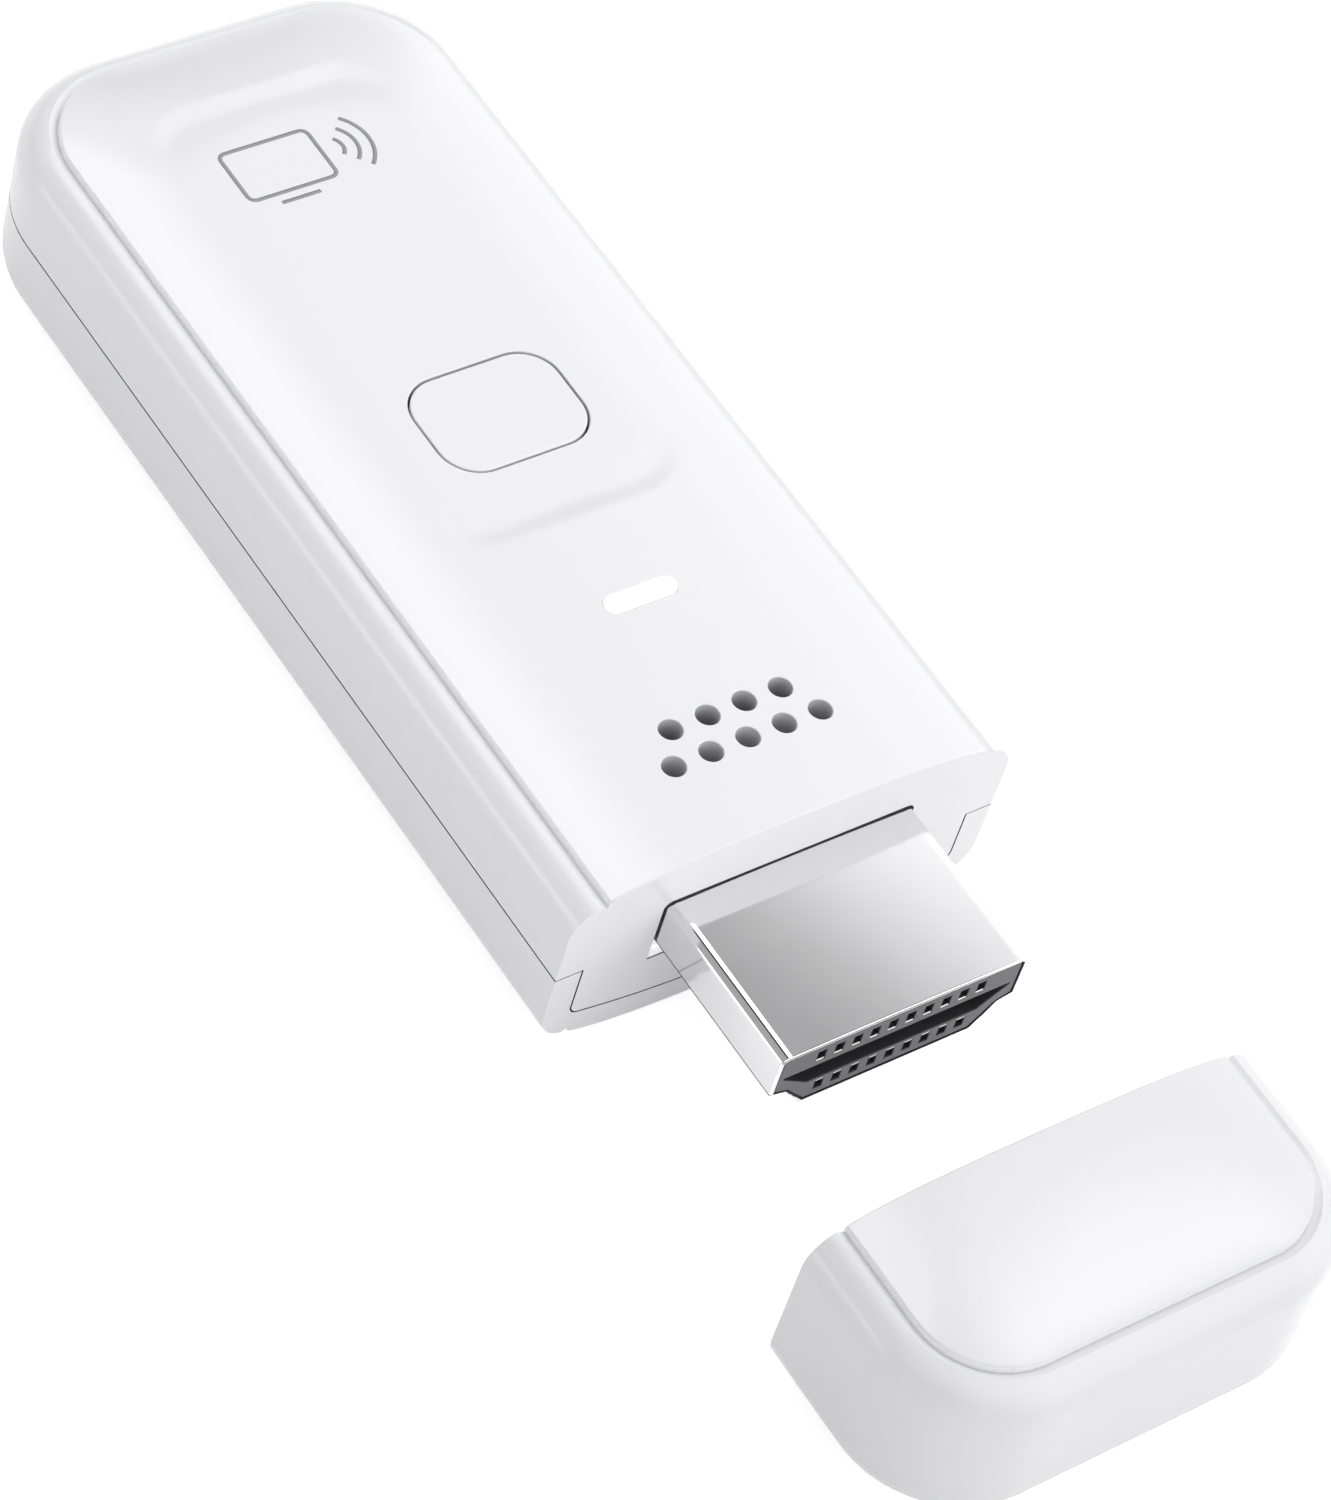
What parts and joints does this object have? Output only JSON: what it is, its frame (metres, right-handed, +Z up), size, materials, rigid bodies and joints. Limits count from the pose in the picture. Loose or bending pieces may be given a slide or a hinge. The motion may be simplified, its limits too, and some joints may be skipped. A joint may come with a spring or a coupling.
{
  "type": "wireless hdmi display adapter",
  "caption": "Pocket-size wireless display adapter stick with a fixed HDMI plug, one push button, a light window, vent holes and a pull-off plug cap.",
  "frame": {"origin": "the middle of the housing's flat back panel, on which the adapter lies", "axes": "+Z up through the panel with the button, +Y from the plug towards the tail, +X across the housing"},
  "size_m": [0.0248, 0.0856, 0.0116],
  "materials": {
    "housing_white": "moulded white ABS with a fine satin gloss",
    "button_white": "moulded white ABS with a fine satin gloss",
    "collar_white": "plain moulded nylon",
    "light_pipe": "milky polycarbonate",
    "led_body": "clear epoxy over phosphor",
    "plug_metal": "bright nickel-plated steel",
    "insulator_grey": "moulded glass-filled nylon",
    "contact_gold": "gold-plated phosphor bronze",
    "board_green": "solder mask over glass epoxy",
    "chip_black": "moulded epoxy",
    "switch_black": "moulded nylon",
    "pad_blue": "soft silicone",
    "spreader_aluminium": "rolled and stamped",
    "shield_steel": "tin-plated sheet",
    "ferrite_grey": "pressed powder",
    "ceramic_tan": "fired ceramic",
    "ceramic_white": "fired ceramic",
    "inlet_steel": "nickel-plated stainless steel",
    "screw_steel": "zinc-plated"
  },
  "bodies": {
    "stick": {"upper_shell": "housing_white", "lower_shell": "housing_white", "switch_body": "switch_black", "led_light_pipe": "light_pipe", "status_led": "led_body", "plug_shell": "plug_metal", "plug_insulator": "insulator_grey", "plug_contacts": "contact_gold", "plug_collar": "collar_white", "main_board": "board_green", "video_processor": "chip_black", "thermal_pad": "pad_blue", "heat_spreader": "spreader_aluminium", "memory_chip": "chip_black", "flash_chip": "chip_black", "radio_chip": "chip_black", "shield_frame": "shield_steel", "shield_lid": "shield_steel", "crystal": "shield_steel", "power_inductors": "ferrite_grey", "chip_capacitors": "ceramic_tan", "chip_antennas": "ceramic_white", "power_inlet_shell": "inlet_steel", "power_inlet_tongue": "switch_black", "power_inlet_contacts": "contact_gold", "board_screws": "screw_steel"},
    "cap": {"cap_shell": "housing_white"},
    "button": {"button_cap": "button_white", "switch_plunger": "switch_black"}
  },
  "joints": [
    {"name": "cap_slide", "type": "slide", "parent": "stick", "child": "cap", "axis": [0, 1, 0], "range_m": [0, 0.01885]},
    {"name": "button_press", "type": "slide", "parent": "stick", "child": "button", "axis": [0, 0, -1], "range_m": [0, 0.0003], "stiffness_N_per_m": 400}
  ]
}
